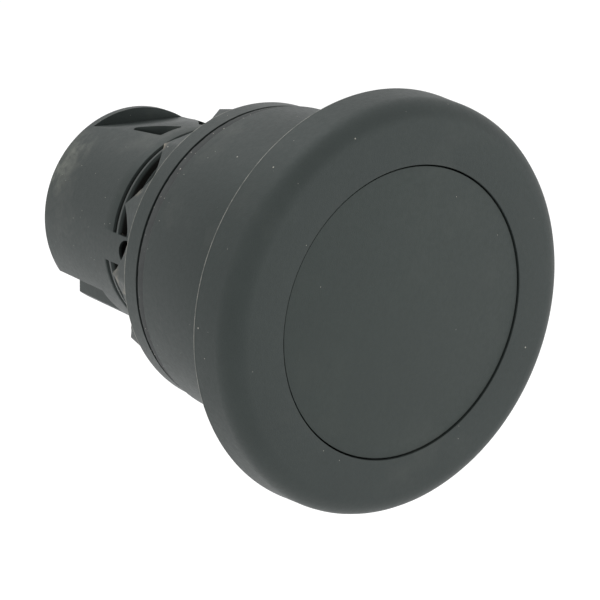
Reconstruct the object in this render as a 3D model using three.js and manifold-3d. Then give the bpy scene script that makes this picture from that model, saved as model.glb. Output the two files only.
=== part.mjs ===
// Mushroom push button operator for a 22.5 mm panel hole, in millimetres.
// The axis of the button is Y: the head faces -Y and the barrel points to +Y. +Z is the top of the barrel and
// +X is to the right, seen from the front. The origin is on the axis, in the plane where the gasket meets the
// panel. A round piece is a lathe about the axis, whose profile is a list of [radius, y] points.
import * as THREE from "three";
import { mergeVertices } from "three/addons/utils/BufferGeometryUtils.js";
import Module from "manifold-3d";

// ---------------------------------------------------------------- driving dimensions
const OUTER_SIDES = 48; // sides of the large turned pieces
const INNER_SIDES = 32; // sides of the small turned pieces
const FIT = 0.05; // radial gap between pieces that are fixed to each other
const RUN = 0.1; // radial gap between pieces that slide on each other
const PAST = 1; // how far a cutting tool runs past the solid

const PANEL = 0; // the panel's front face

const HEAD = {
  radius: 20,
  sideRadius: 19.6,
  shoulder: 2,
  front: -21.16,
  rimLength: 5.02,
  hollow: 3.2,
  wall: 2,
};
const DISC = { radius: 13.65, gap: 0.3, sunk: 0.12, thickness: 1.5 };
const SCREW_POCKET = { radius: 5, depth: 1.4, hole: 1.7 }; // in the head, under the disc
const HUB = { radius: 8.4, bore: 7, rear: -8.66, floor: -16.96 };
const BEZEL = { radius: 15.8, frontRadius: 15.3, nose: 1.2, front: -12.56, rear: -0.8, bore: 13.1, lip: 1 };
const BARREL = { radius: 11.1, rear: 26.03, flangeRadius: 13, flangeFront: -8.1, bore: 8.95, socket: 9.2 };
const SEAL_GROOVE = { front: -5.7, rear: -4.3, floor: 12 }; // round the barrel's flange
const RING_GROOVE = { front: 9.05, rear: 10.1, floor: 9.5 }; // in the barrel's bore, behind the guide sleeve
const STEP = { radius: 7.9, front: 0.04, rear: 0.84 }; // inner shoulder of the barrel, in front of the guide
const THREAD = { pitch: 1.5, depth: 0.55, lastGroove: 12.09, width: 0.65, grooves: 3 };
const LANE = { centreDeg: 270, halfDeg: 8.5 }; // the two unthreaded lanes, left and right
const LANE_POCKET = { halfWidth: 1.35, rear: 10.9, length: 5, floor: 9.9 };
const TOP_FLAT = { height: 9.65, front: 20.4, rear: 25.15 };
const TOP_WINDOW = { front: 14.64, rear: 18.96, innerDeg: 4.7, outerDeg: 20, tipDeg: 23.4 };
const REAR_SLOT = { innerX: 6.9, topZ: -6.05, front: 17.1 };
const NUT = {
  front: 0.2,
  band: 15.5,
  bandRear: 2.6,
  facets: 13,
  ridgeDeg: 294.9, // angle of one of the ridges between the facets
  apothem: 14.85, // from the axis to the facets, at the band's rear edge
  taper: 0.15, // what the apothem loses for each millimetre to the rear
  recess: 14.8, // radius of the hollow at the rear, which cuts the ridges into points
  recessFront: 2.1,
  hub: 13,
  hubRear: 4.6,
  bore: 11.4,
};
const THRUST = { inner: 11.4, outer: 13.6, front: 0.3, thickness: 1, pocket: 13.9 };
const STEM = { radius: 3, front: -16.91, rear: 19.6, spigot: 2.2, spigotFront: 15.5, pilot: 1.55 };
const GUIDE = { radius: 8.9, front: 0.89, rear: 9, tube: 5, bushBore: 4, web: 2, webFront: 3.5, skin: 1.2 };
const BUSH_LENGTH = 2.6;
const CLIP = { radius: 5.3, thickness: 0.6, groove: 2.5 };
const BUMPER = { radius: 5.6, thickness: 0.9 };
const SPRING = { radius: 5.4, wire: 0.8, coils: 7, stepsPerCoil: 14, arcSteps: 3 };
const SEAT = { inner: 4.3, thickness: 0.6 }; // washer under the spring
const WIPER = { outer: 12.6, thickness: 1.6, lip: 0.5 };
const RETAINER = { inner: 8.8, outer: 12.8 };
const SNAP_RING = { inner: 8.2, outer: 9.4, gapDeg: 40 };
const CLIP_GAP_DEG = 60;
const SCREW = { shank: 1.45, head: 2.8, headHeight: 0.8, socket: 1.2, socketDepth: 0.5, length: 6 };
const WASHER = { inner: 1.65, outer: 4, thickness: 0.4 };
const PUSHER = { length: 14, height: 5.6, front: 16, rear: 20, hub: 4.2, foot: 3.4 };

// ---------------------------------------------------------------- solids
const wasm = await Module();
wasm.setup();

// A closed geometry as a manifold-3d solid, for cutting and joining.
function solid(geometry) {
  const bare = geometry.clone();
  bare.deleteAttribute("normal");
  bare.deleteAttribute("uv");
  const merged = mergeVertices(bare, 1e-4);
  return new wasm.Manifold(
    new wasm.Mesh({
      numProp: 3,
      vertProperties: merged.attributes.position.array,
      triVerts: new Uint32Array(merged.index.array),
    }),
  );
}

function geometryOf(body) {
  const mesh = body.getMesh();
  const geometry = new THREE.BufferGeometry();
  geometry.setAttribute("position", new THREE.BufferAttribute(mesh.vertProperties, 3));
  geometry.setIndex(new THREE.BufferAttribute(mesh.triVerts, 1));
  geometry.computeVertexNormals();
  return geometry;
}

// Turns a profile of [radius, y] points about Y. A closed profile makes a ring; one that isn't closed starts
// and ends on the axis. The first of the edges is at startDeg from the top.
function turned(profile, sides = INNER_SIDES, closed = true, startDeg = 0) {
  const points = profile.map(([radius, y]) => new THREE.Vector2(radius, y));
  if (THREE.ShapeUtils.isClockWise(points)) points.reverse();
  if (closed) points.push(points[0].clone());
  return new THREE.LatheGeometry(points, sides, THREE.MathUtils.degToRad(startDeg));
}

// A plain ring between two radii and two planes.
function ring(inner, outer, front, rear, sides = INNER_SIDES) {
  return turned([[inner, front], [outer, front], [outer, rear], [inner, rear]], sides);
}

function disc(radius, front, rear, sides = INNER_SIDES) {
  return turned([[0, front], [radius, front], [radius, rear], [0, rear]], sides, false);
}

// Points along an arc in the profile plane, angles in degrees from the +radius direction.
function arc(radius, y, size, from, to, steps) {
  return Array.from({ length: steps + 1 }, (_, i) => {
    const angle = THREE.MathUtils.degToRad(from + ((to - from) * i) / steps);
    return [radius + size * Math.cos(angle), y + size * Math.sin(angle)];
  });
}

function box(low, high) {
  const size = high.map((value, i) => value - low[i]);
  const geometry = new THREE.BoxGeometry(...size);
  return geometry.translate(...low.map((value, i) => value + size[i] / 2));
}

// A point on a circle about the axis: 0 degrees is the top, and angles run clockwise seen from the front.
function around(radius, degrees) {
  const angle = THREE.MathUtils.degToRad(degrees);
  return [radius * Math.sin(angle), radius * Math.cos(angle)];
}

// A prism with its outline in the X-Z plane, running along Y.
function prismAlongY(outline, front, rear) {
  const shape = new THREE.Shape(outline.map(([x, z]) => new THREE.Vector2(x, -z)));
  const geometry = new THREE.ExtrudeGeometry(shape, { depth: rear - front, bevelEnabled: false });
  return geometry.rotateX(-Math.PI / 2).translate(0, front, 0);
}

// ---------------------------------------------------------------- materials and the assembly
const plastic = new THREE.MeshStandardMaterial({ color: 0x464a48, roughness: 0.6, metalness: 0 });
const innerPlastic = new THREE.MeshStandardMaterial({ color: 0x5a5d5b, roughness: 0.55, metalness: 0 });
const rubber = new THREE.MeshStandardMaterial({ color: 0x2b2d2c, roughness: 0.9, metalness: 0 });
const steel = new THREE.MeshStandardMaterial({ color: 0xb8bcc0, roughness: 0.35, metalness: 1 });

const operator = new THREE.Group();

function add(name, geometry, material) {
  const mesh = new THREE.Mesh(geometry, material);
  mesh.name = name;
  operator.add(mesh);
}

// ---------------------------------------------------------------- head and disc
function mushroomHead() {
  const { front, radius, sideRadius, shoulder, wall } = HEAD;
  const rimRear = front + HEAD.rimLength;
  const seat = front + DISC.sunk + DISC.thickness;
  const pocketFloor = seat + SCREW_POCKET.depth;
  const counterbore = DISC.radius + DISC.gap;
  const under = front + HEAD.hollow;
  return turned(
    [
      [SCREW_POCKET.hole, pocketFloor],
      [SCREW_POCKET.radius, pocketFloor],
      [SCREW_POCKET.radius, seat],
      [counterbore, seat],
      [counterbore, front],
      ...arc(sideRadius - shoulder, front + shoulder, shoulder, -90, 0, 4),
      [radius, rimRear - 0.2],
      [radius - 0.2, rimRear],
      [radius - wall, rimRear],
      [radius - wall - 0.4, under],
      [HUB.radius, under],
      [HUB.radius, HUB.rear],
      [HUB.bore, HUB.rear],
      [HUB.bore, HUB.floor],
      [SCREW_POCKET.hole, HUB.floor],
    ],
    OUTER_SIDES,
  );
}

function frontDisc() {
  const front = HEAD.front + DISC.sunk;
  const edge = 0.12;
  const rear = front + DISC.thickness;
  const rim = [[DISC.radius - edge, front], [DISC.radius, front + edge], [DISC.radius, rear]];
  return turned([[0, front], ...rim, [0, rear]], OUTER_SIDES, false);
}

// ---------------------------------------------------------------- stem group, which moves with the head
// A cap screw with a round drive socket; direction is +1 when it is driven in towards +Y.
function screw(seat, direction) {
  const top = seat - direction * SCREW.headHeight;
  return turned(
    [
      [0, top + direction * SCREW.socketDepth],
      [SCREW.socket, top + direction * SCREW.socketDepth],
      [SCREW.socket, top],
      [SCREW.head, top],
      [SCREW.head, seat],
      [SCREW.shank, seat],
      [SCREW.shank, seat + direction * SCREW.length],
      [0, seat + direction * SCREW.length],
    ],
    INNER_SIDES,
    false,
  );
}

function stem() {
  const groove = { front: clipFront - RUN, rear: clipFront + CLIP.thickness + RUN };
  return turned([
    [STEM.pilot, STEM.front],
    [STEM.radius, STEM.front],
    [STEM.radius, groove.front],
    [CLIP.groove, groove.front],
    [CLIP.groove, groove.rear],
    [STEM.radius, groove.rear],
    [STEM.radius, STEM.spigotFront],
    [STEM.spigot, STEM.spigotFront],
    [STEM.spigot, STEM.rear],
    [STEM.pilot, STEM.rear],
  ]);
}

// A snap ring is open: its gap, at the bottom, lets it spring into its groove.
function openRing(inner, outer, front, rear, gapDeg) {
  const gap = around(outer + PAST, gapDeg / 2);
  const wedge = prismAlongY([[0, 0], [-gap[0], -gap[1]], [gap[0], -gap[1]]], front - PAST, rear + PAST);
  return geometryOf(solid(ring(inner, outer, front, rear)).subtract(solid(wedge)));
}

// The pusher is a bar across the barrel, with a foot at each end for the plunger of a contact block.
function rearPusher() {
  const half = PUSHER.length / 2;
  const tall = PUSHER.height / 2;
  const barRear = PUSHER.front + 2;
  const feet = [-1, 1].map((side) => {
    const inner = side * (half - PUSHER.foot);
    const low = [Math.min(inner, side * half), barRear - PAST, -tall];
    return solid(box(low, [Math.max(inner, side * half), PUSHER.rear, tall]));
  });
  return geometryOf(
    feet
      .reduce((body, foot) => body.add(foot), solid(box([-half, PUSHER.front, -tall], [half, barRear, tall])))
      .add(solid(disc(PUSHER.hub, PUSHER.front, STEM.rear)))
      .subtract(solid(disc(STEM.spigot + FIT, PUSHER.front - PAST, PUSHER.rear + PAST))),
  );
}

// ---------------------------------------------------------------- bezel, seals and guide
function bezel() {
  const { front, rear, radius, frontRadius, nose, bore, lip } = BEZEL;
  return turned(
    [
      [HUB.radius + RUN * 2, front],
      ...arc(frontRadius - nose, front + nose, nose, -90, 0, 3),
      [radius, rear],
      [bore, rear],
      [bore, front + lip],
      [HUB.radius + RUN * 2, front + lip],
    ],
    OUTER_SIDES,
  );
}

function wiperSeal() {
  const { lip, outer } = WIPER;
  return turned([
    [HUB.radius + FIT, sealFront],
    [HUB.radius + lip, sealFront + lip],
    [outer, sealFront + lip],
    [outer, sealRear],
    [HUB.radius + lip, sealRear],
    [HUB.radius + FIT, sealRear - lip],
  ]);
}

function guideSleeve() {
  const { radius, front, rear, tube, bushBore, web, webFront, skin } = GUIDE;
  return turned([
    [bushBore, front],
    [radius, front],
    [radius, rear],
    [radius - skin, rear],
    [radius - skin, webFront + web],
    [tube, webFront + web],
    [tube, rear],
    [bushBore, rear],
  ]);
}

// ---------------------------------------------------------------- barrel
function barrelBlank() {
  const { radius, rear, flangeRadius, flangeFront, bore, socket } = BARREL;
  const chamfer = 0.3;
  return turned(
    [
      [bore, flangeFront],
      [flangeRadius, flangeFront],
      [flangeRadius, SEAL_GROOVE.front],
      [SEAL_GROOVE.floor, SEAL_GROOVE.front],
      [SEAL_GROOVE.floor, SEAL_GROOVE.rear],
      [flangeRadius, SEAL_GROOVE.rear],
      [flangeRadius, BEZEL.rear],
      [radius, BEZEL.rear],
      [radius, rear - chamfer],
      [radius - chamfer, rear],
      [socket, rear],
      [socket, RING_GROOVE.rear + 1],
      [bore, RING_GROOVE.rear + 1],
      [bore, RING_GROOVE.rear],
      [RING_GROOVE.floor, RING_GROOVE.rear],
      [RING_GROOVE.floor, RING_GROOVE.front],
      [bore, RING_GROOVE.front],
      [bore, STEP.rear],
      [STEP.radius, STEP.rear],
      [STEP.radius, STEP.front],
      [bore, STEP.front],
    ],
    OUTER_SIDES,
  );
}

// The rearmost grooves of the thread, left uncut over the two lanes.
function threadGrooves() {
  const { pitch, depth, lastGroove, width, grooves } = THREAD;
  const laneTools = [LANE.centreDeg, LANE.centreDeg - 180].map((centre) => {
    const low = around(BARREL.radius * 2, centre - LANE.halfDeg);
    const high = around(BARREL.radius * 2, centre + LANE.halfDeg);
    return solid(prismAlongY([[0, 0], low, high], PANEL, lastGroove + PAST));
  });
  return Array.from({ length: grooves }, (_, i) => {
    const front = lastGroove - i * pitch - width / 2;
    const cut = ring(BARREL.radius - depth, BARREL.radius + PAST, front, front + width, OUTER_SIDES);
    return laneTools.reduce((body, lane) => body.subtract(lane), solid(cut));
  });
}

// A blind pocket at the front of each lane, with a round rear end.
function lanePocket(side) {
  const { halfWidth, rear, length, floor } = LANE_POCKET;
  const depth = BARREL.radius + PAST - floor;
  const roundEnd = new THREE.CylinderGeometry(halfWidth, halfWidth, depth, 16);
  roundEnd.rotateZ(Math.PI / 2).translate(side * (floor + depth / 2), rear - halfWidth, 0);
  const low = [Math.min(side * floor, side * (floor + depth)), rear - length, -halfWidth];
  const high = [low[0] + depth, rear - halfWidth, halfWidth];
  return solid(box(low, high)).add(solid(roundEnd));
}

// A three-cornered window through the top wall: square to the axis at its front, slanting at its rear.
function topWindow(side) {
  const { front, rear, innerDeg, outerDeg, tipDeg } = TOP_WINDOW;
  const corners = [[front, outerDeg], [front, innerDeg], [rear, tipDeg]];
  const outline = corners.map(([y, degrees]) => {
    const [x] = around(BARREL.radius, side * degrees);
    return new THREE.Vector2(x, y);
  });
  const options = { depth: BARREL.radius, bevelEnabled: false };
  return solid(new THREE.ExtrudeGeometry(new THREE.Shape(outline), options).translate(0, 0, PAST));
}

function barrel() {
  const reach = BARREL.radius + PAST;
  const flat = box([-reach, TOP_FLAT.front, TOP_FLAT.height], [reach, TOP_FLAT.rear, reach]);
  const slots = [-1, 1].map((side) => {
    const low = [Math.min(side * REAR_SLOT.innerX, side * reach), REAR_SLOT.front, -reach];
    return solid(box(low, [low[0] + reach - REAR_SLOT.innerX, BARREL.rear + PAST, REAR_SLOT.topZ]));
  });
  const windows = [-1, 1].flatMap((side) => [lanePocket(side), topWindow(side)]);
  const cuts = [solid(flat), ...slots, ...windows, ...threadGrooves()];
  return geometryOf(cuts.reduce((body, cut) => body.subtract(cut), solid(barrelBlank())));
}

// ---------------------------------------------------------------- nut
// Behind its band the nut has a crown of flat, tapering facets. The hollow inside it cuts them into points.
function mountingNut() {
  const { front, band, bandRear, facets, ridgeDeg, apothem, taper } = NUT;
  const { recess, recessFront, hub, hubRear, bore } = NUT;
  const edge = 0.15;
  const past = hubRear * 2;
  const thrustSeat = THRUST.front + THRUST.thickness + FIT;
  const ridge = (y) => (apothem - taper * (y - bandRear)) / Math.cos(Math.PI / facets);
  const root = bandRear - 2 * edge;
  const flange = turned(
    [[0, front], [band - edge, front], [band, front + edge], [band, bandRear], [0, bandRear]],
    OUTER_SIDES,
    false,
  );
  const slope = [[ridge(root), root], [ridge(past), past]];
  const crown = turned([[0, root], ...slope, [0, past]], facets, false, ridgeDeg);
  const hole = turned(
    [
      [0, front - PAST],
      [THRUST.pocket, front - PAST],
      [THRUST.pocket, thrustSeat],
      [bore, thrustSeat],
      [bore, hubRear],
      [hub, hubRear],
      [hub, recessFront],
      [recess, recessFront],
      [recess, past + PAST],
      [0, past + PAST],
    ],
    facets * 6,
    false,
    ridgeDeg,
  );
  return geometryOf(solid(flange).add(solid(crown)).subtract(solid(hole)));
}

// ---------------------------------------------------------------- spring
class Helix extends THREE.Curve {
  constructor(radius, front, rear, turns) {
    super();
    Object.assign(this, { radius, front, rear, turns });
  }

  getPoint(t, target = new THREE.Vector3()) {
    const angle = t * this.turns * 2 * Math.PI;
    const y = THREE.MathUtils.lerp(this.front, this.rear, t);
    return target.set(this.radius * Math.sin(angle), y, this.radius * Math.cos(angle));
  }
}

function returnSpring(front, rear) {
  const wire = SPRING.wire / 2;
  const section = new THREE.Shape();
  section.absarc(0, 0, wire, 0, 2 * Math.PI);
  return new THREE.ExtrudeGeometry(section, {
    extrudePath: new Helix(SPRING.radius, front + wire + FIT, rear - wire - FIT, SPRING.coils),
    steps: SPRING.coils * SPRING.stepsPerCoil,
    curveSegments: SPRING.arcSteps,
    bevelEnabled: false,
  });
}

// ---------------------------------------------------------------- assembly
const pocketFloor = HEAD.front + DISC.sunk + DISC.thickness + SCREW_POCKET.depth;
const washerFront = pocketFloor - WASHER.thickness;
const sealFront = BEZEL.front + BEZEL.lip + FIT;
const sealRear = sealFront + WIPER.thickness;
const bumperFront = GUIDE.rear + FIT;
const bumperRear = bumperFront + BUMPER.thickness;
const clipFront = bumperRear + 2 * FIT;
const clipRear = clipFront + CLIP.thickness;
const seatFront = STEP.rear - SEAT.thickness;
const retainerRear = BARREL.flangeFront - FIT;
const oRingFront = SEAL_GROOVE.front + RUN;
const oRingRear = SEAL_GROOVE.rear - RUN;
const frontBush = [GUIDE.front, GUIDE.front + BUSH_LENGTH];
const rearBush = [GUIDE.rear - BUSH_LENGTH, GUIDE.rear];
const thrustRear = THRUST.front + THRUST.thickness;
const ringFront = RING_GROOVE.front + FIT;
const ringRear = RING_GROOVE.rear - FIT;

add("mushroom_head", mushroomHead(), plastic);
add("front_disc", frontDisc(), plastic);
add("head_screw", screw(washerFront - FIT, 1), steel);
add("head_washer", ring(WASHER.inner, WASHER.outer, washerFront, pocketFloor), steel);
add("stem", stem(), innerPlastic);
add("stop_bumper", ring(STEM.radius + FIT, BUMPER.radius, bumperFront, bumperRear), rubber);
add("stop_clip", openRing(CLIP.groove + FIT, CLIP.radius, clipFront, clipRear, CLIP_GAP_DEG), steel);
add("rear_pusher", rearPusher(), innerPlastic);
add("pusher_screw", screw(STEM.rear + FIT, -1), steel);

add("bezel", bezel(), plastic);
add("wiper_seal", wiperSeal(), rubber);
add("seal_retainer", ring(RETAINER.inner, RETAINER.outer, sealRear + FIT, retainerRear), innerPlastic);
const oRing = [SEAL_GROOVE.floor + FIT, BARREL.flangeRadius + FIT, oRingFront, oRingRear];
add("bezel_seal", ring(...oRing, OUTER_SIDES), rubber);
add("panel_gasket", ring(BARREL.radius + 2 * RUN, BEZEL.radius, BEZEL.rear, PANEL, OUTER_SIDES), rubber);
add("barrel", barrel(), plastic);
add("spring_seat", ring(SEAT.inner, STEP.radius - RUN, seatFront, STEP.rear), steel);
add("guide_sleeve", guideSleeve(), innerPlastic);
add("front_bush", ring(STEM.radius + RUN, GUIDE.bushBore - FIT, ...frontBush), innerPlastic);
add("rear_bush", ring(STEM.radius + RUN, GUIDE.bushBore - FIT, ...rearBush), innerPlastic);
const snapRing = openRing(SNAP_RING.inner, SNAP_RING.outer, ringFront, ringRear, SNAP_RING.gapDeg);
add("retaining_ring", snapRing, steel);
add("return_spring", returnSpring(HUB.floor, seatFront), steel);
add("thrust_washer", ring(THRUST.inner, THRUST.outer, THRUST.front, thrustRear, OUTER_SIDES), steel);
add("mounting_nut", mountingNut(), plastic);

export default operator;
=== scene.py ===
import math

import bmesh
import bpy
from mathutils import Matrix, Vector, noise


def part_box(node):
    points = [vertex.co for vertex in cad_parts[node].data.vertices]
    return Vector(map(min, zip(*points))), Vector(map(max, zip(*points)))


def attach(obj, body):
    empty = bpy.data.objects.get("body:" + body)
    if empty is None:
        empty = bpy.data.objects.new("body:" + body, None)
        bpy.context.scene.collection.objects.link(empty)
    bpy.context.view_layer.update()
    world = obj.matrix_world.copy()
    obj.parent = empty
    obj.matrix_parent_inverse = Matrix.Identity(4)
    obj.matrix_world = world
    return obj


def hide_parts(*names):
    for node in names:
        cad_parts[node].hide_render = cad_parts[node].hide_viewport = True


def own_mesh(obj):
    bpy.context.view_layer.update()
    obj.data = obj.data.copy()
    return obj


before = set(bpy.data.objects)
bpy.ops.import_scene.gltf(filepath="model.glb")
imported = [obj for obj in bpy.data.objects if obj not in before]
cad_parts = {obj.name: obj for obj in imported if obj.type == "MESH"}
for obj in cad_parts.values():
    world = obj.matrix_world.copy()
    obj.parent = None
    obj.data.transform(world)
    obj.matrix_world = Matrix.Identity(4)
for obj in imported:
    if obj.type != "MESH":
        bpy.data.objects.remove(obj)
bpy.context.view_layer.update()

MM = 0.001

TURNED_SIDES = 192  # sides of the large turned pieces
SMALL_SIDES = 96  # sides of the pieces inside
BODY_SIDES = 256  # sides of the head, bezel and gasket
FILLET_STEPS = 4
SHARP_DEG = 32  # edges with a larger turn than this stay crisp


def edges_of(node):
    """(radius, front y, rear y) of a round CAD node, in millimetres."""
    low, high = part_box(node)
    return high.x / MM, low.y / MM, high.y / MM


# ---------------------------------------------------------------- camera, floor and light
CAMERA_AT = Vector((-105.01, -143.60, 49.91)) * MM
CAMERA_AZIMUTH = math.radians(-37.14)
CAMERA_ELEVATION = math.radians(16.86)
CAMERA_ROLL = math.radians(1.75)
CAMERA_LENS = 111.0
SENSOR_WIDTH = 36
WORLD_STRENGTH = 1.0
FLOOR_Z = -0.11
FLOOR_SIZE = 8
FLOOR_WHITE = 0.93
FLOOR_GLOW = 0.11
LAMPS = (  # (name, place, diameter, watts)
    ("top_light", (-0.1, 0.25, 0.6), 0.5, 1.0),
    ("right_light", (0.45, -0.5, -0.02), 0.4, 0.6),
)


def make_camera():
    ahead = Vector(
        (
            -math.sin(CAMERA_AZIMUTH) * math.cos(CAMERA_ELEVATION),
            math.cos(CAMERA_AZIMUTH) * math.cos(CAMERA_ELEVATION),
            -math.sin(CAMERA_ELEVATION),
        )
    )
    right = ahead.cross(Vector((0, 0, 1))).normalized()
    right.rotate(Matrix.Rotation(-CAMERA_ROLL, 3, ahead))
    up = right.cross(ahead)
    camera = bpy.data.objects.new("camera", bpy.data.cameras.new("camera"))
    turn = Matrix((right, up, -ahead)).transposed().to_4x4()
    camera.matrix_world = Matrix.Translation(CAMERA_AT) @ turn
    camera.data.lens = CAMERA_LENS
    camera.data.sensor_width = SENSOR_WIDTH
    camera.data.clip_start = 0.01
    bpy.context.scene.collection.objects.link(camera)
    bpy.context.scene.camera = camera


def make_area_light(name, at, size, watts):
    """A round soft light that points at the button."""
    light = bpy.data.lights.new(name, "AREA")
    light.shape = "DISK"
    light.size = size
    light.energy = watts
    lamp = bpy.data.objects.new(name, light)
    lamp.location = at
    lamp.rotation_euler = (-Vector(at)).to_track_quat("-Z", "Y").to_euler()
    bpy.context.scene.collection.objects.link(lamp)


def make_studio():
    scene = bpy.context.scene
    scene.view_settings.view_transform = "Standard"
    world = bpy.data.worlds.new("studio")
    scene.world = world
    world.use_nodes = True
    background = world.node_tree.nodes["Background"]
    background.inputs["Color"].default_value = (1, 1, 1, 1)
    background.inputs["Strength"].default_value = WORLD_STRENGTH

    bpy.ops.mesh.primitive_plane_add(size=FLOOR_SIZE, location=(0, 0, FLOOR_Z))
    floor = bpy.context.object
    floor.name = "floor"
    material = bpy.data.materials.new("floor_paper")
    material.use_nodes = True
    shader = material.node_tree.nodes["Principled BSDF"]
    shader.inputs["Base Color"].default_value = (FLOOR_WHITE, FLOOR_WHITE, FLOOR_WHITE, 1)
    shader.inputs["Roughness"].default_value = 0.9
    shader.inputs["Emission Color"].default_value = (1, 1, 1, 1)
    shader.inputs["Emission Strength"].default_value = FLOOR_GLOW
    floor.data.materials.append(material)

    for lamp in LAMPS:
        make_area_light(*lamp)


# ---------------------------------------------------------------- materials
# pale dust; also the tone of the painted highlight rings along the rim's and the nut band's rear edges
DUST_AND_HIGHLIGHT_TONE = (0.34, 0.33, 0.29)
RUBBER_DUST = (0.3, 0.29, 0.26)
SCUFFED = (0.16, 0.165, 0.14)
# near-black colour of the painted shade in the barrel's thread grooves and recesses
GROOVE_SHADE = (0.0035, 0.0030, 0.0024)
CRUMBS = (0.35, 0.31, 0.25)
COOL_GLOSS = (0.89, 1.0, 0.975, 1)  # tint of the plastic's reflections


class Graph:
    """A material's node tree, built from its Principled shader outwards."""

    def __init__(self, name):
        self.material = bpy.data.materials.new(name)
        self.material.use_nodes = True
        self.tree = self.material.node_tree
        self.shader = self.tree.nodes["Principled BSDF"]
        self.where = self.node("ShaderNodeTexCoord").outputs["Object"]

    def node(self, kind, inputs=None, **settings):
        node = self.tree.nodes.new(kind)
        for key, value in settings.items():
            setattr(node, key, value)
        for key, value in (inputs or {}).items():
            socket = node.inputs[key]
            if isinstance(value, bpy.types.NodeSocket):
                self.tree.links.new(value, socket)
            else:
                socket.default_value = value
        return node

    def noise(self, size, detail=2.0, roughness=0.5, where=None):
        """Noise from 0 to 1, with features about size metres across."""
        inputs = {"Vector": where or self.where, "Scale": 1 / size}
        inputs |= {"Detail": detail, "Roughness": roughness}
        return self.node("ShaderNodeTexNoise", inputs).outputs["Fac"]

    def math(self, operation, a, b=0.0, c=0.0):
        return self.node("ShaderNodeMath", {0: a, 1: b, 2: c}, operation=operation).outputs[0]

    def ramp(self, value, low, high, to_low=0.0, to_high=1.0):
        """value from low..high spread over to_low..to_high, and held there outside."""
        inputs = {"Value": value, "From Min": low, "From Max": high}
        inputs |= {"To Min": to_low, "To Max": to_high}
        return self.node("ShaderNodeMapRange", inputs).outputs["Result"]

    def mix(self, share, a, b):
        node = self.node("ShaderNodeMix", data_type="RGBA")
        for socket, value in ((node.inputs[0], share), (node.inputs[6], a), (node.inputs[7], b)):
            if isinstance(value, bpy.types.NodeSocket):
                self.tree.links.new(value, socket)
            else:
                socket.default_value = value if isinstance(value, float) else (*value, 1)
        return node.outputs[2]

    def specks(self, cell, size, share):
        """Small round specks: one in each cell of that size, in a share of the cells."""
        inputs = {"Vector": self.where, "Scale": 1 / cell, "Randomness": 1.0}
        spots = self.node("ShaderNodeTexVoronoi", inputs)
        near = self.ramp(spots.outputs["Distance"], size / cell, 0.5 * size / cell)
        draw = self.node("ShaderNodeSeparateColor", {"Color": spots.outputs["Color"]}).outputs[0]
        chosen = self.ramp(draw, 1 - share, 1 - share + 0.01)
        return self.math("MULTIPLY", near, chosen)

    def axis_parts(self):
        """(radius, y) of the point, in metres."""
        parts = self.node("ShaderNodeSeparateXYZ", {"Vector": self.where}).outputs
        across = self.math("MULTIPLY", parts["X"], parts["X"])
        radius = self.math("SQRT", self.math("MULTIPLY_ADD", parts["Z"], parts["Z"], across))
        return radius, parts["Y"]

    def band(self, value, middle, half):
        """1 where value is at middle, down to 0 half a width away."""
        off = self.math("ABSOLUTE", self.math("SUBTRACT", value, middle))
        return self.ramp(off, half, 0.3 * half)

    def bump(self, height, distance, strength=1.0, under=None):
        inputs = {"Height": height, "Distance": distance, "Strength": strength}
        if under is not None:
            inputs["Normal"] = under
        return self.node("ShaderNodeBump", inputs).outputs["Normal"]

    def plug(self, name, value):
        self.tree.links.new(value, self.shader.inputs[name])


def rubbed_patch(g, angle, from_axis, y, reach):
    """A broken patch round the point at (angle, radius, y), fading out at reach, all in millimetres."""
    turn = math.radians(angle)
    middle = (from_axis * math.sin(turn) * MM, y * MM, from_axis * math.cos(turn) * MM)
    off = g.node("ShaderNodeVectorMath", {0: g.where, 1: middle}, operation="DISTANCE").outputs["Value"]
    broken = g.ramp(g.noise(0.0018, 4.0, 0.65), 0.42, 0.62)
    return g.math("MULTIPLY", g.ramp(off, reach * MM, 0.0), broken)


def add_painted_highlight_rings(g, rings, dust_and_highlight):
    """Adds patchy painted highlight rings at (radius, y, half width), where edges catch the light, to the
    dust mask.
    """
    radius, y = g.axis_parts()
    patchy = g.ramp(g.noise(0.0008, 3.0, 0.6), 0.35, 0.62, 0.25, 0.8)
    for ring_radius, ring_y, half in rings:
        near = g.band(radius, ring_radius * MM, half * MM)
        ring = g.math("MULTIPLY", near, g.band(y, ring_y * MM, half * MM))
        dust_and_highlight = g.math("MAXIMUM", dust_and_highlight, g.math("MULTIPLY", ring, patchy))
    return dust_and_highlight


def paint_groove_shade_and_crumbs(g, colour, within, ahead_of):
    """Paints shade into what lies nearer the axis than within and further forward than ahead_of, in
    millimetres: the thread grooves and recesses get a darker colour and a weaker reflection, and pale crumbs
    of dirt.
    """
    radius, y = g.axis_parts()
    inside = g.ramp(radius, within * MM, (within - 0.25) * MM)
    ahead = g.ramp(y, ahead_of * MM, (ahead_of - 0.2) * MM)
    shade_and_crumb_mask = g.math("MULTIPLY", inside, ahead)
    # painted shade: the grooves darkened towards near-black where light hardly reaches
    colour = g.mix(shade_and_crumb_mask, colour, GROOVE_SHADE)
    crumbs = g.math("MULTIPLY", g.specks(0.0007, 0.00007, 0.35), shade_and_crumb_mask)
    # painted shade: the grooves' reflection weakened
    g.plug("Specular IOR Level", g.ramp(shade_and_crumb_mask, 0.0, 1.0, 0.5, 0.12))
    return g.mix(crumbs, colour, CRUMBS)


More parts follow.
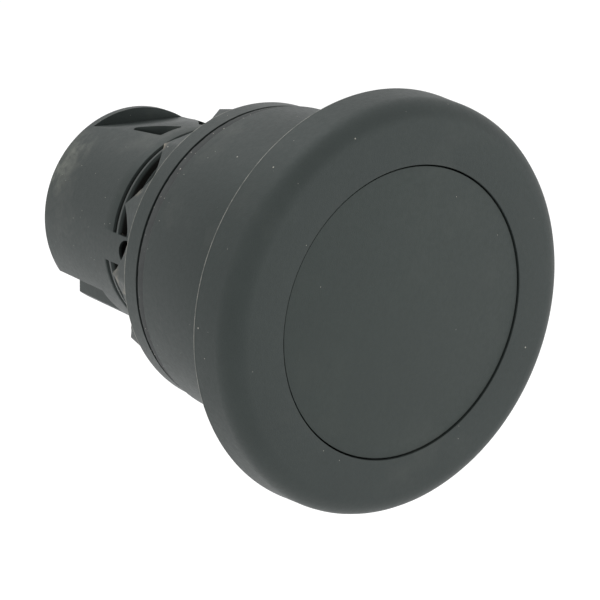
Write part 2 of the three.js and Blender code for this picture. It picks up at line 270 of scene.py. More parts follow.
def moulded_plastic(name, dark, pale, roughness=0.52, grain=0.00011, dust=0.5, highlight_rings=(), groove_shade_and_crumbs=None, scuffs=(),
                    scuffed=SCUFFED):
    """Spark-eroded charcoal plastic: fine grain, faint clouding and pale dust.

    wear has painted highlight rings at (radius, y, half width), where edges catch the light. grime is a
    (radius, y): what lies nearer the axis and further forward gets painted shade and pale crumbs of dirt.
    scuffs has rubbed patches at (angle, radius, y, reach), of the colour scuffed.
    """
    g = Graph(name)
    clouds = g.noise(0.006, 3.0, 0.6)
    fine = g.noise(grain, 2.0, 0.7)
    coarse = g.noise(grain * 4, 2.0, 0.5)
    tone = g.math("MULTIPLY_ADD", fine, 0.45, g.math("MULTIPLY", clouds, 0.55))
    colour = g.mix(g.ramp(tone, 0.3, 0.7), dark, pale)
    large_dust = g.specks(0.0022, 0.00010, 0.30 * dust)
    dusty = g.math("MAXIMUM", large_dust, g.specks(0.0009, 0.00005, 0.35 * dust))
    film = g.math("MULTIPLY", g.ramp(g.noise(0.009, 4.0, 0.65), 0.55, 0.8), 0.10 * dust)
    dust_and_highlight = g.math("MAXIMUM", dusty, film)
    # painted highlight rings where edges catch the light, in the dust's pale tone
    if highlight_rings:
        dust_and_highlight = add_painted_highlight_rings(g, highlight_rings, dust_and_highlight)
    colour = g.mix(dust_and_highlight, colour, DUST_AND_HIGHLIGHT_TONE)
    for scuff in scuffs:
        colour = g.mix(g.math("MULTIPLY", rubbed_patch(g, *scuff), 0.6), colour, scuffed)
    # painted shade in the grooves, with pale crumbs of dirt
    if groove_shade_and_crumbs:
        colour = paint_groove_shade_and_crumbs(g, colour, *groove_shade_and_crumbs)
    g.plug("Base Color", colour)
    unevenness = g.math("ADD", g.math("MULTIPLY", coarse, 0.5), g.math("MULTIPLY", clouds, 0.5))
    g.plug("Roughness", g.ramp(unevenness, 0.3, 0.7, roughness - 0.05, roughness + 0.07))
    orange_peel = g.bump(coarse, 0.000022, 0.5)
    grained = g.bump(fine, 0.000014, 0.8, orange_peel)
    g.plug("Normal", g.bump(dusty, 0.00004, 0.6, grained))
    g.shader.inputs["IOR"].default_value = 1.47
    g.shader.inputs["Specular Tint"].default_value = COOL_GLOSS
    return g.material


def seal_rubber(name, dark, pale, dust):
    """Matt black rubber with a dull bloom and clinging dust."""
    g = Graph(name)
    bloom = g.noise(0.0025, 4.0, 0.7)
    fine = g.noise(0.00016, 3.0, 0.7)
    colour = g.mix(g.ramp(bloom, 0.35, 0.7), dark, pale)
    large_dust = g.specks(0.0008, 0.00011, 0.5 * dust)
    dusty = g.math("MAXIMUM", large_dust, g.specks(0.0004, 0.00006, 0.45 * dust))
    g.plug("Base Color", g.mix(dusty, colour, RUBBER_DUST))
    g.plug("Roughness", g.ramp(bloom, 0.3, 0.7, 0.68, 0.88))
    g.plug("Normal", g.bump(fine, 0.00002, 0.8, g.bump(bloom, 0.00005, 0.5)))
    return g.material


def plated_steel(name, base, roughness):
    """Plated or drawn steel, with turned lines round the axis and dull patches."""
    g = Graph(name)
    radius, y = g.axis_parts()
    rings = g.node("ShaderNodeCombineXYZ", {"X": radius, "Y": y, "Z": 0.0}).outputs[0]
    lines = g.noise(0.00012, 3.0, 0.6, rings)
    patches = g.noise(0.002, 4.0, 0.6)
    g.plug("Base Color", g.mix(g.ramp(patches, 0.3, 0.7), base, tuple(0.72 * c for c in base)))
    g.plug("Roughness", g.ramp(patches, 0.3, 0.75, roughness - 0.08, roughness + 0.14))
    g.plug("Normal", g.bump(lines, 0.00001, 0.5, g.bump(patches, 0.00003, 0.3)))
    g.shader.inputs["Metallic"].default_value = 1.0
    return g.material


# ---------------------------------------------------------------- mesh building
def rounded(corners, steps=FILLET_STEPS):
    """A closed outline of (a, b, fillet radius) corners, as points with each corner rounded."""
    points = []
    for i, (a, b, size) in enumerate(corners):
        here = Vector((a, b))
        if size <= 0:
            points.append((a, b))
            continue
        back = Vector(corners[i - 1][:2]) - here
        on = Vector(corners[(i + 1) % len(corners)][:2]) - here
        half = back.angle(on) / 2
        reach = min(size / math.tan(half), 0.49 * back.length, 0.49 * on.length)
        size = reach * math.tan(half)
        start, end = here + back.normalized() * reach, here + on.normalized() * reach
        centre = here + (back.normalized() + on.normalized()).normalized() * (size / math.sin(half))
        first, last = start - centre, end - centre
        turn = first.angle_signed(last)
        for k in range(steps + 1):
            spoke = first.copy()
            spoke.rotate(Matrix.Rotation(-turn * k / steps, 2))
            points.append(tuple(centre + spoke))
    return points


def swept(name, outline_at, angles):
    """A closed surface round the axis; outline_at(angle) gives its closed outline of (radius, y) points."""
    made = bmesh.new()
    loops = []
    for angle in angles:
        turn = math.radians(angle)
        loops.append([(r * math.sin(turn), y, r * math.cos(turn)) for r, y in outline_at(angle)])
    first = loops[0]
    on_axis = {j for j, (x, _, z) in enumerate(first) if math.hypot(x, z) < 1e-6}
    poles = {j: made.verts.new([v * MM for v in first[j]]) for j in on_axis}

    def corner(j, point):
        return poles[j] if j in on_axis else made.verts.new([v * MM for v in point])

    grid = [[corner(j, point) for j, point in enumerate(loop)] for loop in loops]
    for i, loop in enumerate(grid):
        beside = grid[(i + 1) % len(grid)]
        for j in range(len(loop)):
            k = (j + 1) % len(loop)
            corners = []
            for vertex in (loop[j], loop[k], beside[k], beside[j]):
                if vertex not in corners:
                    corners.append(vertex)
            if len(corners) > 2:
                made.faces.new(corners)
    bmesh.ops.recalc_face_normals(made, faces=made.faces)
    return finished(name, made)


def finished(name, made):
    mesh = bpy.data.meshes.new(name)
    made.to_mesh(mesh)
    made.free()
    piece = bpy.data.objects.new(name, mesh)
    bpy.context.scene.collection.objects.link(piece)
    return piece


def every(step):
    return [step * i for i in range(round(360 / step))]


def lathe(name, corners, sides=SMALL_SIDES):
    outline = rounded(corners)
    return swept(name, lambda angle: outline, every(360 / sides))


def ring_corners(inner, outer, front, rear, fillet):
    return [(inner, front, fillet), (outer, front, fillet), (outer, rear, fillet), (inner, rear, fillet)]


def prism(name, outline, axis, low, high):
    """A prism along the axis: its outline holds the other two axes in their order, in millimetres."""
    made = bmesh.new()
    ends = []
    for along in (low, high):
        corners = []
        for a, b in outline:
            place = [a, b]
            place.insert("xyz".index(axis), along)
            corners.append(made.verts.new([v * MM for v in place]))
        ends.append(corners)
    made.faces.new(ends[0])
    made.faces.new(ends[1])
    for i in range(len(outline)):
        j = (i + 1) % len(outline)
        made.faces.new((ends[0][i], ends[0][j], ends[1][j], ends[1][i]))
    bmesh.ops.recalc_face_normals(made, faces=made.faces)
    return finished(name, made)


def bake_modifiers(piece):
    """Applies the piece's modifiers to its mesh."""
    bpy.context.view_layer.update()
    depsgraph = bpy.context.evaluated_depsgraph_get()
    shape = bpy.data.meshes.new_from_object(piece.evaluated_get(depsgraph))
    old = piece.data
    piece.modifiers.clear()
    piece.data = shape
    bpy.data.meshes.remove(old)


def combine(piece, tools, operation="DIFFERENCE"):
    for tool in tools:
        modifier = piece.modifiers.new("cut", "BOOLEAN")
        modifier.operation = operation
        modifier.solver = "EXACT"
        modifier.object = tool
        bake_modifiers(piece)
        bpy.data.objects.remove(tool)


def soften(piece, width, segments=2, angle=SHARP_DEG):
    """Rounds the piece's sharp edges."""
    modifier = piece.modifiers.new("edges", "BEVEL")
    modifier.width = width * MM
    modifier.segments = segments
    modifier.limit_method = "ANGLE"
    modifier.angle_limit = math.radians(angle)
    bake_modifiers(piece)


def dress(piece, body, slot, material, *nodes):
    """Shades the piece, gives it its material and body, and lets it stand for its CAD nodes."""
    piece.data.shade_smooth()
    piece.data.set_sharp_from_angle(angle=math.radians(SHARP_DEG))
    piece.data.materials.clear()
    piece.data.materials.append(material)
    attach(piece, body)
    if nodes:
        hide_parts(*nodes)
    return piece


# ---------------------------------------------------------------- head and disc
COUNTERBORE = 13.92
DISC_SUNK = 0.16  # how far the disc's face lies behind the ring's
DISC_THICK = 1.5
DISC_GAP = 0.14  # between the disc and the ring round it
HEAD = {"shoulder": 19.62, "fillet": 2.15, "rim": 5.02, "web": 3.2, "hollow": 17.5, "mouth": 18.0}
HUB = {"radius": 8.4, "bore": 7.0, "floor": -16.96}
SCREW_POCKET = {"radius": 5.0, "depth": 1.4, "hole": 1.7}


def mushroom_head():
    radius, front, rear = edges_of("mushroom_head")
    rim_rear = front + HEAD["rim"]
    under = front + HEAD["web"]
    seat = front + DISC_SUNK + DISC_THICK
    pocket = seat + SCREW_POCKET["depth"]
    corners = [
        (SCREW_POCKET["hole"], pocket, 0),
        (SCREW_POCKET["radius"], pocket, 0.1),
        (SCREW_POCKET["radius"], seat, 0.1),
        (COUNTERBORE, seat, 0.15),
        (COUNTERBORE, front, 0.06),
        (HEAD["shoulder"], front, HEAD["fillet"]),
        (radius - 0.02, rim_rear - 0.32, 0.3),
        (radius, rim_rear - 0.22, 0.04),
        (radius, rim_rear, 0.1),
        (radius - 0.35, rim_rear, 0.1),
        (HEAD["mouth"], rim_rear - 0.05, 0.3),
        (HEAD["hollow"], under, 0.8),
        (HUB["radius"], under, 0.9),
        (HUB["radius"], rear, 0.25),
        (HUB["bore"], rear, 0.25),
        (HUB["bore"], HUB["floor"], 0.3),
        (SCREW_POCKET["hole"], HUB["floor"], 0),
    ]
    outline = rounded(corners, 8)
    return swept("mushroom_head", lambda angle: outline, every(360 / BODY_SIDES))


def front_disc():
    rear = edges_of("front_disc")[2]
    front = edges_of("mushroom_head")[1] + DISC_SUNK
    radius = COUNTERBORE - DISC_GAP
    corners = [(0, front, 0), (radius, front, 0.06), (radius, rear, 0.1), (0, rear, 0)]
    return lathe("front_disc", corners, TURNED_SIDES)


# ---------------------------------------------------------------- bezel, gasket and seals
SEAM_SHIFT = 0.3  # how far forward of its CAD place the bezel's rear edge lies
BEZEL = {"bore": 8.6, "skirt_bore": 13.1, "web": 1.0, "nose": 0.54, "nose_fillet": 1.2}
GASKET = {"bore": 11.3, "outer": 15.56, "rear": 0.16, "step": 0.3}
WIPER = {"lip": 8.45, "bore": 8.9, "outer": 12.6, "lip_length": 0.5}
BEZEL_SEAL = {"inner": 12.05, "outer": 13.04, "fillet": 0.48}


def bezel():
    radius, front, rear = edges_of("bezel")
    rear -= SEAM_SHIFT
    web_rear = front + BEZEL["web"]
    corners = [
        (BEZEL["bore"], front, 0.25),
        (radius - BEZEL["nose"], front, BEZEL["nose_fillet"]),
        (radius, rear, 0.1),
        (BEZEL["skirt_bore"], rear, 0.1),
        (BEZEL["skirt_bore"], web_rear, 0.1),
        (BEZEL["bore"], web_rear, 0.1),
    ]
    outline = rounded(corners, 6)
    return swept("bezel", lambda angle: outline, every(360 / BODY_SIDES))


def panel_gasket():
    """A rubber ring, a little narrower in front, whose moulded edge wanders."""
    _, front, _ = edges_of("panel_gasket")
    front -= SEAM_SHIFT
    bore, outer, rear = GASKET["bore"], GASKET["outer"], GASKET["rear"]
    narrow = outer - GASKET["step"]
    outline = [
        (bore, front),
        (narrow, front),
        (narrow, front + 0.06),
        (narrow + 0.05, front + 0.14),
        (outer - 0.02, front + 0.16),
        (outer, front + 0.2),
        (outer, rear - 0.04),
        (outer - 0.04, rear),
        (bore, rear),
    ]

    def uneven(angle):
        turn = math.radians(angle)
        spot = Vector((math.sin(turn), math.cos(turn), 0))
        shift = 0.03 * noise.noise(spot * 9) + 0.02 * noise.noise(spot * 40)
        slip = 0.05 * noise.noise(spot * 25) + 0.04 * noise.noise(spot * 60)
        return [(r + (shift if r > bore else 0), y + (slip if y > 0 else 0)) for r, y in outline]

    return swept("panel_gasket", uneven, every(360 / BODY_SIDES))


def wiper_seal():
    _, front, rear = edges_of("wiper_seal")
    lip, bore, outer = WIPER["lip"], WIPER["bore"], WIPER["outer"]
    corners = [
        (lip, front, 0.1),
        (bore, front + WIPER["lip_length"], 0.2),
        (outer, front + WIPER["lip_length"], 0.15),
        (outer, rear, 0.15),
        (bore, rear, 0.2),
        (lip, rear - WIPER["lip_length"], 0.1),
    ]
    return lathe("wiper_seal", corners, TURNED_SIDES)


def bezel_seal():
    _, front, rear = edges_of("bezel_seal")
    corners = ring_corners(BEZEL_SEAL["inner"], BEZEL_SEAL["outer"], front, rear, BEZEL_SEAL["fillet"])
    return lathe("bezel_seal", corners, TURNED_SIDES)


# ---------------------------------------------------------------- barrel
BARREL = {"radius": 11.1, "front": -8.1, "flange": 13.0, "flange_rear": -0.8, "bore": 8.95}
SEAL_GROOVE = {"front": -5.7, "rear": -4.3, "floor": 12.0}
RING_GROOVE = {"front": 9.05, "rear": 10.1, "floor": 9.5}
STEP = {"radius": 7.9, "front": 0.04, "rear": 0.84}
SOCKET = {"radius": 9.2, "front": 11.1}
PITCH = 1.5
FIRST_GROOVE = 1.64
LEAD_IN = 0.12  # share of a turn by which the first groove starts ahead
GROOVES = (  # half width and depth of each groove, from the front
    *((0.62, 0.72),) * 6,
    (0.8, 1.15),
    (0.36, 0.5),
)
FLARE = 0.07  # how much the barrel widens towards its rear end
FLARE_FROM = 16
LANES = (270.25, 90.25)
LANE_HALF = 8.25
LANE_EDGE = 0.35  # degrees over which a groove ends
LANE_POCKET = {"half": 1.35, "rear": 10.9, "front": 5.9, "floor": 9.9}
TOP_RAMP = (  # (y, z) down the hollow ramp on top, to the foot of the rear rim
    (16.5, 11.17),
    (17.6, 10.95),
    (19.2, 10.55),
    (21.4, 10.1),
    (23.4, 9.8),
    (25.15, 9.65),
)
WINDOW_CORNERS = ((14.64, 20.0), (14.64, 4.7), (20.2, 23.6))  # (y, angle from the top)
WINDOW_DEPTH = 4.0  # z that the windows are cut down to
REAR_SLOT = {"inner": 6.9, "top": -6.05, "front": 17.1}


def groove_lines():
    """(y, depth) of the thread's lines along the barrel, where a groove is cut to its full depth."""
    lines = []
    for i, (half, depth) in enumerate(GROOVES):
        middle = FIRST_GROOVE + PITCH * i
        lines += [
            (middle - half - 0.03, 0.0),
            (middle - half + 0.04, 0.08 * depth),
            (middle - 0.4 * half, depth),
            (middle + 0.4 * half, depth),
            (middle + half - 0.04, 0.08 * depth),
            (middle + half + 0.03, 0.0),
        ]
    return lines


def thread_at(angle):
    """(how far the grooves have wound rearwards, share of their full depth) at the angle."""
    turn = (angle - LANES[0] - LANE_HALF) % 360  # degrees past the left lane
    lane_share = 2 * LANE_HALF / 360
    in_lane = max(0.0, turn - 360 * (1 - lane_share)) / (2 * LANE_HALF)
    shift = PITCH * (turn / 360 - LEAD_IN)
    if in_lane:
        shift = PITCH * (1 - lane_share) * (1 - in_lane) - PITCH * LEAD_IN
    off_lane = min(abs((angle - lane + 180) % 360 - 180) for lane in LANES)
    return shift, min(1.0, max(0.0, (off_lane - LANE_HALF) / LANE_EDGE))


def barrel_blank():
    _, _, rear = edges_of("barrel")
    radius, front, bore = BARREL["radius"], BARREL["front"], BARREL["bore"]
    flange, flange_rear = BARREL["flange"], BARREL["flange_rear"]
    socket, wide = SOCKET["radius"], radius + FLARE
    lines = groove_lines()
    head = [
        (bore, front),
        (flange - 0.15, front),
        (flange, front + 0.15),
        (flange, SEAL_GROOVE["front"]),
        (SEAL_GROOVE["floor"], SEAL_GROOVE["front"]),
        (SEAL_GROOVE["floor"], SEAL_GROOVE["rear"]),
        (flange, SEAL_GROOVE["rear"]),
        (flange, flange_rear - 0.15),
        (flange - 0.15, flange_rear),
        (radius, flange_rear),
        (radius, 0.1),
    ]
    flared = ((y, max(0.0, (y - FLARE_FROM) / (rear - FLARE_FROM))) for y in (14.0, 16.0, 19.0, 22.0, 24.5))
    plain = [(radius + FLARE * share, y) for y, share in flared]
    inside = [
        (wide, rear - 0.04),
        (wide - 0.04, rear),
        (socket + 0.25, rear),
        (socket + 0.08, rear - 0.07),
        (socket, rear - 0.25),
        (socket, SOCKET["front"]),
        (bore, SOCKET["front"]),
        (bore, RING_GROOVE["rear"]),
        (RING_GROOVE["floor"], RING_GROOVE["rear"]),
        (RING_GROOVE["floor"], RING_GROOVE["front"]),
        (bore, RING_GROOVE["front"]),
        (bore, STEP["rear"]),
        (STEP["radius"], STEP["rear"]),
        (STEP["radius"], STEP["front"]),
        (bore, STEP["front"]),
    ]

    def outline_at(angle):
        shift, deep = thread_at(angle)
        threaded = [(radius - depth * deep, y + shift) for y, depth in lines]
        return head + threaded + plain + inside

    angles = set(every(1.5))
    for lane in LANES:
        for side in (-1, 1):
            for off in (LANE_HALF, LANE_HALF + LANE_EDGE):
                angles.add((lane + side * off) % 360)
    return swept("barrel", outline_at, sorted(angles))


def window_tool(side, reach):
    """A three-cornered window, square to the axis in front and slanting behind."""
    half_width = side * BARREL["radius"]
    corners = [(half_width * math.sin(math.radians(angle)), y, 0.28) for y, angle in WINDOW_CORNERS]
    return prism("window_tool", rounded(corners), "z", WINDOW_DEPTH, reach)


def slot_tool(side, reach):
    """Cuts away the barrel's lower corner, out to past its rear end."""
    inner, front, past = side * REAR_SLOT["inner"], REAR_SLOT["front"], 28.0
    outline = [(inner, front), (inner, past), (side * reach, past), (side * reach, front)]
    return prism("slot_tool", outline, "z", -reach, REAR_SLOT["top"])


def lane_pocket_tool(side, reach):
    """A slot in the lane, with a round rear end."""
    half, rear, front = LANE_POCKET["half"], LANE_POCKET["rear"], LANE_POCKET["front"]
    turns = [math.radians(degrees) for degrees in range(0, 181, 15)]
    outline = [(rear - half + half * math.sin(turn), half * math.cos(turn)) for turn in turns]
    outline += [(front, -half), (front, half)]
    low, high = sorted((side * LANE_POCKET["floor"], side * reach))
    return prism("pocket_tool", outline, "x", low, high)


def barrel():
    reach = 12.0  # past the barrel's surface
    ramp = [*TOP_RAMP, (TOP_RAMP[-1][0], reach), (TOP_RAMP[0][0], reach)]
    tools = [prism("ramp_tool", ramp, "x", -reach, reach)]
    for side in (-1, 1):
        tools += [window_tool(side, reach), slot_tool(side, reach), lane_pocket_tool(side, reach)]
    piece = barrel_blank()
    combine(piece, tools)
    return piece


# ---------------------------------------------------------------- nut
NUT = {
    "front_gap": 0.3,  # how far behind its CAD place the band starts
    "band": 15.55,
    "band_rear": 2.6,
    "facets": 13,
    "ridge_at": 294.9,
    "apothem": 14.85,
    "taper": 0.15,  # what the apothem loses for each millimetre to the rear
    "valley": 3.9,  # y of the crown's edge in the middle of a facet
    "peak": 5.9,  # y of the crown's edge at a ridge
    "recess": 14.6,
    "recess_front": 2.1,
    "hub": 13.0,
    "hub_rear": 4.6,
    "bore": 11.4,
    "thrust": 13.9,
    "thrust_rear": 1.35,
}
WORN_TOOTH = {"at": 266, "spread": 14, "ragged": 0.22}  # the tooth with the most flash
RAGGED = 0.09


def crown_flash(angle):
    """How far the crown's ragged edge stands out at the angle."""
    turn = math.radians(angle)
    spot = Vector((math.sin(turn), math.cos(turn), 0.3))
    off = (angle - WORN_TOOTH["at"]) / WORN_TOOTH["spread"]
    ragged = RAGGED + WORN_TOOTH["ragged"] * math.exp(-(off**2))
    return ragged * (noise.noise(spot * 22) + 0.7 * noise.noise(spot * 70))


def mounting_nut():
    """A band with a crown of flat, tapering facets, whose rear edge is cut into ragged points."""
    _, front, _ = edges_of("mounting_nut")
    front += NUT["front_gap"]
    band, band_rear = NUT["band"], NUT["band_rear"]
    hub, hub_rear, bore = NUT["hub"], NUT["hub_rear"], NUT["bore"]
    step = 360 / NUT["facets"]
    edge_steps = 8
    inside = [
        (NUT["recess"], NUT["recess_front"]),
        (hub, NUT["recess_front"]),
        (hub, hub_rear - 0.2),
        (hub - 0.2, hub_rear),
        (bore + 0.3, hub_rear),
        (bore, hub_rear - 0.3),
        (bore, NUT["thrust_rear"]),
        (NUT["thrust"], NUT["thrust_rear"]),
        (NUT["thrust"], front),
    ]

    def outline_at(angle):
        off = (angle - NUT["ridge_at"]) % step - step / 2  # from the middle of the facet
        lean = math.cos(math.radians(off))
        rise = (NUT["peak"] - NUT["valley"]) * (abs(off) * 2 / step) ** 1.3
        tip = NUT["valley"] + rise + crown_flash(angle)
        outside = [
            (band - 0.02, front),
            (band, front + 0.02),
            (band, band_rear - 0.03),
            (band - 0.03, band_rear),
            (NUT["apothem"] / lean + 0.02, band_rear),
        ]
        start = band_rear + 0.02
        for i in range(edge_steps + 1):
            y = start + (tip - start) * i / edge_steps
            outside.append(((NUT["apothem"] - NUT["taper"] * (y - band_rear)) / lean, y))
        knife = (outside[-1][0] - 0.06, tip - 0.02)
        return [*outside, knife, *inside]

    angle_steps = 20  # in each facet
    count = NUT["facets"] * angle_steps
    angles = sorted((NUT["ridge_at"] + step * i / angle_steps) % 360 for i in range(count))
    return swept("mounting_nut", outline_at, angles)


# ---------------------------------------------------------------- stem, guide and the small inner pieces
STEM = {"radius": 3.0, "pilot": 1.55, "spigot": 2.2, "spigot_front": 15.5}
CLIP_GROOVE = {"floor": 2.5, "front": 10.0, "rear": 10.8}
GUIDE = {"bush_bore": 4.0, "tube": 5.0, "skin": 1.2, "web_rear": 5.5}
SCREW = {"head": 2.8, "crown": 1.6, "head_height": 0.8, "shank": 1.45, "tip": 1.0, "length": 6.0}
CROSS = {"half_length": 1.45, "half_width": 0.22, "depth": 0.55}
PUSHER = {"half_height": 2.8, "foot": 3.4, "web": 2.0, "hub": 4.2, "hub_rear": 19.6, "hole": 2.25}
SPRING = {"radius": 5.4, "wire": 0.4, "coils": 7, "closed": 1.0, "sides": 16, "steps_a_turn": 48}


def stem():
    _, front, rear = edges_of("stem")
    radius, pilot, spigot = STEM["radius"], STEM["pilot"], STEM["spigot"]
    corners = [
        (pilot, front, 0.1),
        (radius, front, 0.2),
        (radius, CLIP_GROOVE["front"], 0.05),
        (CLIP_GROOVE["floor"], CLIP_GROOVE["front"], 0.05),
        (CLIP_GROOVE["floor"], CLIP_GROOVE["rear"], 0.05),
        (radius, CLIP_GROOVE["rear"], 0.05),
        (radius, STEM["spigot_front"], 0.2),
        (spigot, STEM["spigot_front"], 0.1),
        (spigot, rear, 0.15),
        (pilot, rear, 0.1),
    ]
    return lathe("stem", corners)


def guide_sleeve():
    radius, front, rear = edges_of("guide_sleeve")
    bore, tube, skin_bore = GUIDE["bush_bore"], GUIDE["tube"], radius - GUIDE["skin"]
    corners = [
        (bore, front, 0.1),
        (radius, front, 0.2),
        (radius, rear, 0.15),
        (skin_bore, rear, 0.15),
        (skin_bore, GUIDE["web_rear"], 0.4),
        (tube, GUIDE["web_rear"], 0.4),
        (tube, rear, 0.15),
        (bore, rear, 0.15),
    ]
    return lathe("guide_sleeve", corners, TURNED_SIDES)


def plain_ring(name, inner, fillet, sides=SMALL_SIDES):
    outer, front, rear = edges_of(name)
    return lathe(name, ring_corners(inner, outer, front, rear, fillet), sides)


def snap_ring(name, inner, gap, eyes):
    """A flat spring ring open over gap degrees at the bottom, with an eye at each end where it has eyes."""
    outer, front, rear = edges_of(name)
    middle, half = (inner + outer) / 2, (outer - inner) / 2
    arc_steps, end_steps = 60, 8
    outline = []
    for side, edge in ((1, outer), (-1, inner)):
        last = 180 - side * gap / 2
        for k in range(end_steps + 1):
            spread = math.radians(-90 + 180 * k / end_steps)
            r = middle + side * half * math.sin(spread)
            turn = math.radians(last) + side * half * 0.5 * math.cos(spread) / middle
            outline.append((r * math.sin(turn), r * math.cos(turn)))
        for k in range(1, arc_steps):
            turn = math.radians(last - side * (360 - gap) * k / arc_steps)
            outline.append((edge * math.sin(turn), edge * math.cos(turn)))
    piece = prism(name, outline, "y", front, rear)
    if eyes:
        eye_at, eye = gap / 2 + 4, 0.3
        for side in (-1, 1):
            turn = math.radians(180 + side * eye_at)
            x, z = middle * math.sin(turn), middle * math.cos(turn)
            spokes = [math.radians(degrees) for degrees in range(0, 360, 20)]
            hole = [(x + eye * math.cos(spoke), z + eye * math.sin(spoke)) for spoke in spokes]
            combine(piece, [prism("eye_tool", hole, "y", front - 1, rear + 1)])
    soften(piece, 0.06)
    return piece


def screw(name, seat, direction):
    """A pan-head screw with a cross recess; direction is +1 when it is driven in towards +Y."""
    head, shank, length = SCREW["head"], SCREW["shank"], SCREW["length"]
    top = seat - direction * SCREW["head_height"]
    corners = [
        (0, top, 0),
        (SCREW["crown"], top + direction * 0.05, 0),
        (head, top + direction * 0.25, 0.3),
        (head, seat, 0.06),
        (shank, seat, 0),
        (shank, seat + direction * (length - 0.4), 0),
        (SCREW["tip"], seat + direction * length, 0),
        (0, seat + direction * length, 0),
    ]
    piece = lathe(name, corners)
    along, across = CROSS["half_length"], CROSS["half_width"]
    arm = [(-along, -across), (along, -across), (along, across), (-along, across)]
    low, high = sorted((top - direction * 0.5, top + direction * CROSS["depth"]))
    for degrees in (45, 135):
        c, s = math.cos(math.radians(degrees)), math.sin(math.radians(degrees))
        turned = [(a * c - b * s, a * s + b * c) for a, b in arm]
        combine(piece, [prism("recess_tool", turned, "y", low, high)])
    return piece


def rear_pusher():
    """A cross bar with two feet towards the contact blocks and a hub for the stem's spigot."""
    half, front, rear = edges_of("rear_pusher")
    tall, foot, web_rear = PUSHER["half_height"], PUSHER["foot"], front + PUSHER["web"]
    side_view = rounded(
        [
            (-half, front, 0.4),
            (half, front, 0.4),
            (half, rear, 0.5),
            (half - foot, rear, 0.4),
            (half - foot, web_rear, 0.5),
            (foot - half, web_rear, 0.5),
            (foot - half, rear, 0.4),
            (-half, rear, 0.5),
        ]
    )
    piece = prism("rear_pusher", side_view, "z", -tall, tall)
    hub_front, hub_rear, hub, hole = front + 0.01, PUSHER["hub_rear"], PUSHER["hub"], PUSHER["hole"]
    boss = lathe("hub_tool", [(0, hub_front, 0), (hub, hub_front, 0), (hub, hub_rear, 0.3), (0, hub_rear, 0)])
    combine(piece, [boss], "UNION")
    low, high = front - 1, rear + 1
    combine(piece, [lathe("hole_tool", [(0, low, 0), (hole, low, 0), (hole, high, 0), (0, high, 0)])])
    soften(piece, 0.15)
    return piece


def return_spring():
    """A compression spring: one closed coil at each end, and an even pitch between."""
    low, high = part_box("return_spring")
    front, rear = low.y / MM + SPRING["wire"], high.y / MM - SPRING["wire"]
    sides, per_turn = SPRING["sides"], SPRING["steps_a_turn"]
    made = bmesh.new()
    steps = SPRING["coils"] * per_turn
    closed_rise = 2.02 * SPRING["wire"]
    turns_between = SPRING["coils"] - 2 * SPRING["closed"]
    rings = []
    for i in range(steps + 1):
        turn = i / per_turn
        if turn < SPRING["closed"]:
            y = front + closed_rise * turn
        elif turn > SPRING["coils"] - SPRING["closed"]:
            y = rear - closed_rise * (SPRING["coils"] - turn)
        else:
            share = (turn - SPRING["closed"]) / turns_between
            y = front + closed_rise + (rear - front - 2 * closed_rise) * share
        angle = 2 * math.pi * turn
        out = Vector((math.sin(angle), 0, math.cos(angle)))
        centre = out * SPRING["radius"] + Vector((0, y, 0))
        ring = []
        for k in range(sides):
            spread = 2 * math.pi * k / sides
            off = out * math.cos(spread) + Vector((0, 1, 0)) * math.sin(spread)
            ring.append(made.verts.new((centre + off * SPRING["wire"]) * MM))
        rings.append(ring)
    for one, two in zip(rings, rings[1:]):
        for k in range(sides):
            j = (k + 1) % sides
            made.faces.new((one[k], one[j], two[j], two[k]))
    made.faces.new(rings[0])
    made.faces.new(rings[-1])
    bmesh.ops.recalc_face_normals(made, faces=made.faces)
    return finished("return_spring", made)


# ---------------------------------------------------------------- the whole button
CHARCOAL = (0.0125, 0.0160, 0.0152)
CHARCOAL_PALE = (0.0225, 0.0275, 0.0260)
DISC_CHARCOAL = (0.0125, 0.0165, 0.0150)
DISC_CHARCOAL_PALE = (0.0215, 0.0270, 0.0245)
NYLON = (0.06, 0.062, 0.06)
NYLON_PALE = (0.085, 0.087, 0.084)
DUSTY_RUBBER = (0.024, 0.027, 0.027)
DUSTY_RUBBER_PALE = (0.052, 0.057, 0.056)
CLEAN_RUBBER = (0.012, 0.012, 0.012)
CLEAN_RUBBER_PALE = (0.025, 0.025, 0.025)
ZINC = (0.62, 0.63, 0.65)
SPRING_STEEL = (0.45, 0.45, 0.46)
FLASH_TAN = (0.42, 0.35, 0.26)
# painted highlight rings along the rim's rear edge and the nut band's rear edge, where the edges catch the
# light
RIM_EDGE_HIGHLIGHT = (20.0, edges_of("mushroom_head")[1] + 5.0, 0.16)  # (radius, y, half width)
NUT_EDGE_HIGHLIGHT = (15.53, 2.6, 0.14)
NUT_FLASH = (  # (angle, radius, y, reach)
    (267.5, 14.8, 5.5, 1.1),
    (263.5, 14.8, 4.6, 1.1),
    (259.0, 14.8, 3.9, 1.3),
    (279.0, 14.8, 4.3, 0.9),
    (302.0, 14.8, 4.8, 0.9),
    (322.0, 14.8, 5.7, 0.8),
)
# the barrel's thread grooves and recesses get painted shade, with pale crumbs of dirt
BARREL_GROOVE_SHADE_AND_CRUMBS = (10.95, 13.4)  # (radius, y)
BARREL_SCUFFS = ((312, 11.1, 24.5, 3.2), (296, 11.1, 25.2, 2.6))
SCREW_SEATING = 0.05  # gap between a screw's head and what it holds

make_camera()
make_studio()

# the head's material carries a painted highlight ring along the rim's rear edge
head_plastic = moulded_plastic("head_plastic", CHARCOAL, CHARCOAL_PALE, dust=0.35, highlight_rings=(RIM_EDGE_HIGHLIGHT,))
disc_plastic = moulded_plastic("disc_plastic", DISC_CHARCOAL, DISC_CHARCOAL_PALE, dust=0.2)
bezel_plastic = moulded_plastic("bezel_plastic", CHARCOAL, CHARCOAL_PALE, dust=0.8)
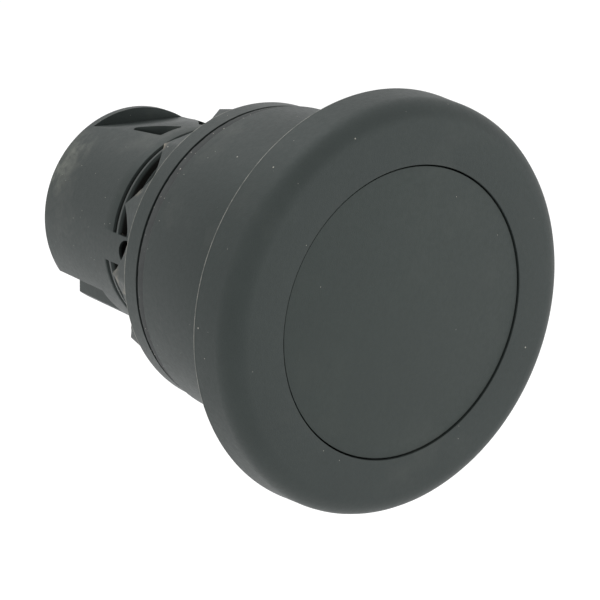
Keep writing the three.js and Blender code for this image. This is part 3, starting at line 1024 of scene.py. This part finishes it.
# the barrel's material carries painted shade in its thread grooves
barrel_plastic = moulded_plastic("barrel_plastic", CHARCOAL, CHARCOAL_PALE, roughness=0.48, dust=0.9,
                                 groove_shade_and_crumbs=BARREL_GROOVE_SHADE_AND_CRUMBS, scuffs=BARREL_SCUFFS)
# the nut's material carries a painted highlight ring along the band's rear edge
nut_plastic = moulded_plastic("nut_plastic", CHARCOAL, CHARCOAL_PALE, roughness=0.48, dust=1.0,
                              highlight_rings=(NUT_EDGE_HIGHLIGHT,), scuffs=NUT_FLASH, scuffed=FLASH_TAN)
inner_plastic = moulded_plastic("inner_plastic", NYLON, NYLON_PALE, roughness=0.42, grain=0.0002, dust=0.1)
gasket_rubber = seal_rubber("gasket_rubber", DUSTY_RUBBER, DUSTY_RUBBER_PALE, 1.0)
inner_rubber = seal_rubber("inner_rubber", CLEAN_RUBBER, CLEAN_RUBBER_PALE, 0.2)
zinc = plated_steel("zinc_plate", ZINC, 0.34)
spring_steel = plated_steel("spring_steel", SPRING_STEEL, 0.28)

dress(mushroom_head(), "button", "black_plastic", head_plastic, "mushroom_head")
dress(front_disc(), "button", "black_plastic", disc_plastic, "front_disc")
dress(bezel(), "housing", "black_plastic", bezel_plastic, "bezel")
dress(barrel(), "housing", "black_plastic", barrel_plastic, "barrel")
dress(mounting_nut(), "nut", "black_plastic", nut_plastic, "mounting_nut")
dress(panel_gasket(), "housing", "rubber", gasket_rubber, "panel_gasket")
dress(wiper_seal(), "housing", "rubber", inner_rubber, "wiper_seal")
dress(bezel_seal(), "housing", "rubber", inner_rubber, "bezel_seal")
dress(stem(), "button", "inner_plastic", inner_plastic, "stem")
dress(guide_sleeve(), "housing", "inner_plastic", inner_plastic, "guide_sleeve")
dress(rear_pusher(), "button", "inner_plastic", inner_plastic, "rear_pusher")

for name, body, slot, material, inner, fillet, sides in (
    ("seal_retainer", "housing", "inner_plastic", inner_plastic, 8.8, 0.2, TURNED_SIDES),
    ("front_bush", "housing", "inner_plastic", inner_plastic, 3.1, 0.15, SMALL_SIDES),
    ("rear_bush", "housing", "inner_plastic", inner_plastic, 3.1, 0.15, SMALL_SIDES),
    ("spring_seat", "housing", "steel", zinc, 4.3, 0.12, SMALL_SIDES),
    ("head_washer", "button", "steel", zinc, 1.65, 0.1, SMALL_SIDES),
    ("stop_bumper", "button", "rubber", inner_rubber, 3.05, 0.4, SMALL_SIDES),
    ("thrust_washer", "nut_carrier", "steel", zinc, 11.4, 0.15, TURNED_SIDES),
):
    dress(plain_ring(name, inner, fillet, sides), body, slot, material, name)

dress(snap_ring("stop_clip", 2.55, 60, False), "button", "steel", spring_steel, "stop_clip")
dress(snap_ring("retaining_ring", 8.2, 40, True), "housing", "steel", spring_steel, "retaining_ring")
head_seat = edges_of("head_washer")[1] - SCREW_SEATING
pusher_seat = edges_of("stem")[2] + SCREW_SEATING
dress(screw("head_screw", head_seat, 1), "button", "steel", zinc, "head_screw")
dress(screw("pusher_screw", pusher_seat, -1), "button", "steel", zinc, "pusher_screw")
spring = dress(return_spring(), "housing", "steel", spring_steel, "return_spring")
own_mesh(spring)
